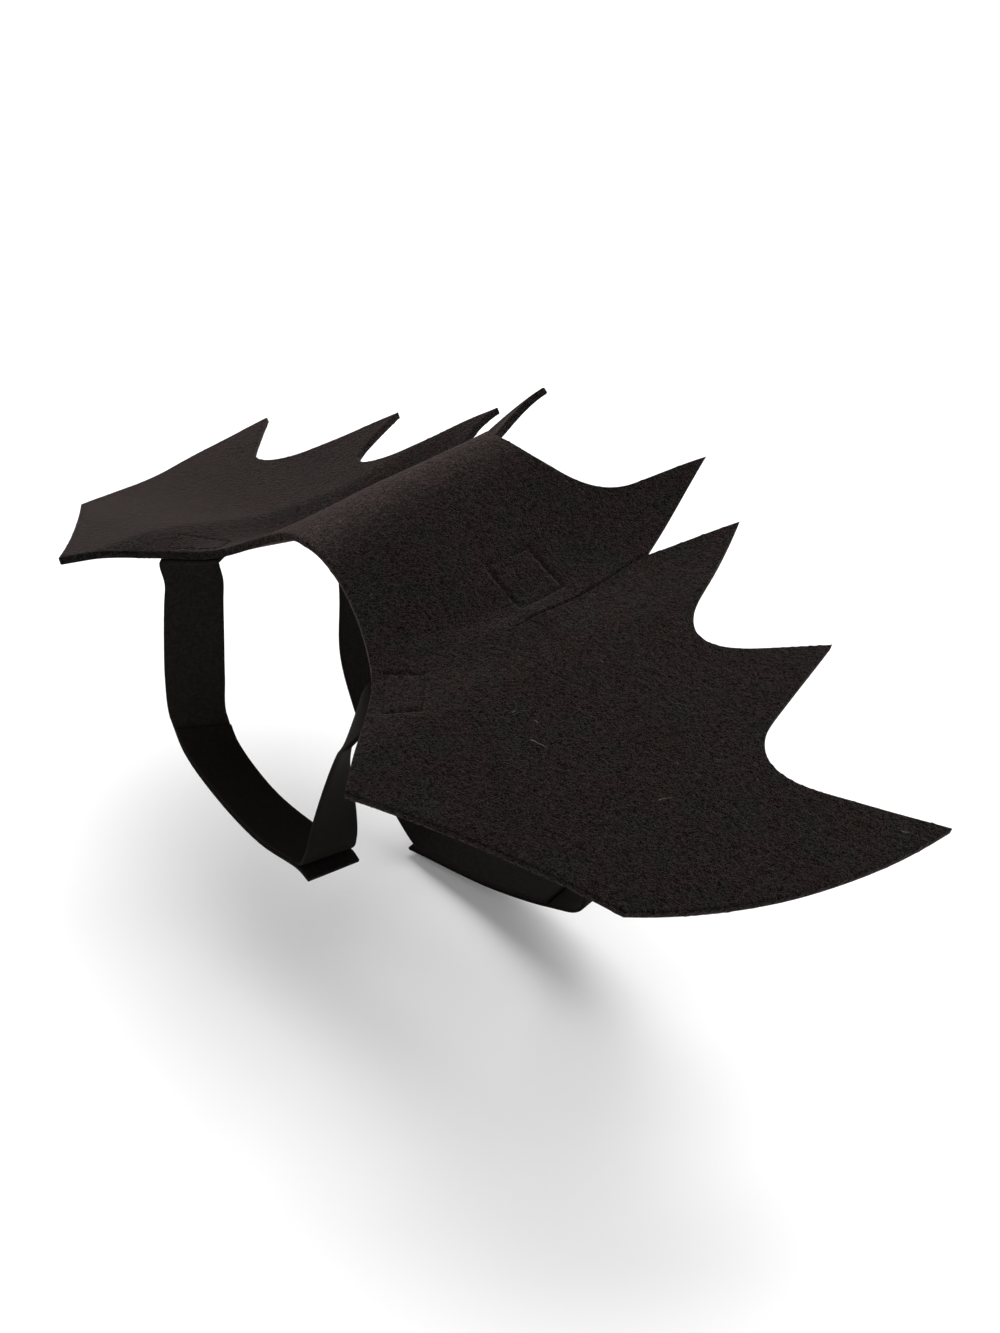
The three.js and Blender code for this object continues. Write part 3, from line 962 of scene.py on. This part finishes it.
def mixColour(tree, share, a, b):
    node = addNode(tree, "ShaderNodeMix", data_type="RGBA")
    tree.links.new(share, node.inputs["Factor"])
    for socket, value in ((node.inputs[6], a), (node.inputs[7], b)):
        if isinstance(value, tuple):
            socket.default_value = (*value, 1.0)
        else:
            tree.links.new(value, socket)
    return node.outputs[2]


def bumpInto(tree, shader, height, settings):
    bump = addNode(tree, "ShaderNodeBump")
    tree.links.new(height, bump.inputs["Height"])
    for socket, value in settings.items():
        bump.inputs[socket].default_value = value
    tree.links.new(bump.outputs["Normal"], shader.inputs["Normal"])


def fibreNode(tree, group, settings):
    node = addNode(tree, "ShaderNodeGroup", node_tree=group)
    coordinates = addNode(tree, "ShaderNodeTexCoord")
    tree.links.new(coordinates.outputs["Object"], node.inputs["Vector"])
    for socket, value in settings.items():
        node.inputs[socket].default_value = value
    return node.outputs


def attributeShare(tree, name, share):
    node = addNode(tree, "ShaderNodeAttribute", attribute_name=name)
    return math2(tree, "MULTIPLY", node.outputs["Fac"], share)


def feltFinish(fibres):
    look = finish["felt"]
    material, tree, shader = startMaterial("blackFelt", look["shader"])
    fibre = fibreNode(tree, fibres, look["fibres"])
    tone = math2(tree, "MULTIPLY", fibre["Tone"], mapRange(tree, fibre["Clump"], look["clumpShade"]))
    plain = mixColour(tree, tone, look["dark"], look["light"])
    warm = mixColour(tree, tone, look["dark"], look["warm"])
    surface = mixColour(tree, mapRange(tree, fibre["Mottle"], look["warmPatch"]), plain, warm)
    # painted sheen: the colour turns lighter along the crest
    paintedSheen = mixColour(tree, tone, look["sheenDark"], look["sheenLight"])
    surface = mixColour(tree, attributeShare(tree, "crestSheenMask", look["sheenShare"]), surface, paintedSheen)
    # painted shade on the cut edge walls
    surface = mixColour(tree, attributeShare(tree, "cutEdge", look["edgeShadeShare"]), surface, look["dark"])
    tree.links.new(surface, shader.inputs["Base Color"])
    tufts = math2(tree, "MULTIPLY", fibre["Clump"], look["clumpHeight"])
    bumpInto(tree, shader, math2(tree, "ADD", fibre["Height"], tufts), look["bump"])
    return material


def tapeFinish(name, colours, fibres, weave):
    look = finish["tape"]
    material, tree, shader = startMaterial(name, look["shader"])
    fibre = fibreNode(tree, fibres, look["fibres"])
    cloth = addNode(tree, "ShaderNodeGroup", node_tree=weave)
    layout = addNode(tree, "ShaderNodeUVMap")
    tree.links.new(layout.outputs["UV"], cloth.inputs["Vector"])
    cloth.inputs["Rib"].default_value = colours["rib"]
    cloth.inputs["Warp"].default_value = colours["rib"] * look["warpShare"]
    woven = math2(tree, "MULTIPLY", cloth.outputs["Height"], colours["weave"])
    pile = math2(tree, "ADD", fibre["Tone"], mapRange(tree, fibre["Clump"], look["clumpTone"]))
    tone = math2(tree, "ADD", woven, math2(tree, "MULTIPLY", pile, (1 - colours["weave"]) / 2))
    tree.links.new(mixColour(tree, tone, colours["dark"], colours["light"]), shader.inputs["Base Color"])
    height = math2(tree, "ADD", woven, math2(tree, "MULTIPLY", fibre["Height"], look["pileHeight"]))
    bumpInto(tree, shader, height, look["bump"])
    return material


def strandFinish(name, colours, fibres):
    look = finish["strand"]
    material, tree, shader = startMaterial(name, look["shader"])
    shader.inputs["Roughness"].default_value = colours["roughness"]
    tone = fibreNode(tree, fibres, look["fibres"])["Tone"]
    tree.links.new(mixColour(tree, tone, colours["dark"], colours["light"]), shader.inputs["Base Color"])
    return material


def wear(piece, material):
    piece.data.materials.clear()
    piece.data.materials.append(material)


# Floor, lights and background
studio = {
    "floorDrop": 0.002,
    "floorSize": 14.0,
    "floorColour": (0.92, 0.92, 0.92),
    "floorRoughness": 0.9,
    "world": 0.42,
    "lights": [
        {"name": "overheadLight", "place": (1.7, -0.7, 2.1), "size": 4.0, "power": 62.0},
        {"name": "backLight", "place": (-1.2, 1.0, 2.4), "size": 3.0, "power": 100.0},
    ],
}


def addFloor():
    height = cadBox[0][2] - studio["floorDrop"]
    bpy.ops.object.select_all(action="DESELECT")
    bpy.ops.mesh.primitive_plane_add(size=studio["floorSize"], location=(0, 0, height))
    floor = startPiece("studio_floor")
    material = bpy.data.materials.new("paleFloor")
    material.use_nodes = True
    shader = material.node_tree.nodes["Principled BSDF"]
    shader.inputs["Base Color"].default_value = (*studio["floorColour"], 1.0)
    shader.inputs["Roughness"].default_value = studio["floorRoughness"]
    wear(floor, material)


def addLight(row):
    bpy.ops.object.light_add(type="AREA", location=row["place"])
    light = bpy.context.object
    light.name = row["name"]
    light.data.size = row["size"]
    light.data.energy = row["power"]
    light.rotation_euler = (-Vector(row["place"])).to_track_quat("-Z", "Y").to_euler()


def lightStudio():
    scene = bpy.context.scene
    world = scene.world or bpy.data.worlds.new("studio")
    scene.world = world
    world.use_nodes = True
    background = world.node_tree.nodes["Background"]
    background.inputs["Color"].default_value = (1, 1, 1, 1)
    background.inputs["Strength"].default_value = studio["world"]
    for row in studio["lights"]:
        addLight(row)
    scene.view_settings.view_transform = "Standard"


addCamera()
addFloor()
lightStudio()
print("camera, floor and lights set")

felt = makeFelt()
straps = makeStraps()
stitchPieces = [makeStitches(box) for box in stitchBoxes]
napPiece = makeNap(felt)
lintPiece = makeLint()
print("pieces modelled")

fibreGroup = makeFibreGroup()
weaveGroup = makeWeaveGroup()
loopFinish = tapeFinish("loopTape", finish["loop"], fibreGroup, weaveGroup)
hookFinish = tapeFinish("hookTape", finish["hook"], fibreGroup, weaveGroup)
threadFinish = strandFinish("blackThread", finish["thread"], fibreGroup)
wear(felt, feltFinish(fibreGroup))
wear(napPiece, strandFinish("feltFibre", finish["nap"], fibreGroup))
wear(lintPiece, strandFinish("paleLint", finish["lint"], fibreGroup))
for piece in stitchPieces:
    wear(piece, threadFinish)

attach(felt, "root")
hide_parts("wing_panel")
for piece in (napPiece, lintPiece):
    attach(piece, "root")
for piece in stitchPieces:
    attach(piece, "root")
for name, (strap, length) in straps.items():
    isLoop = name.endswith("right")
    wear(strap, loopFinish if isLoop else hookFinish)
    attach(strap, "root")
    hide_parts(name.replace("tape", "strap"))
print("finishes and riding set")
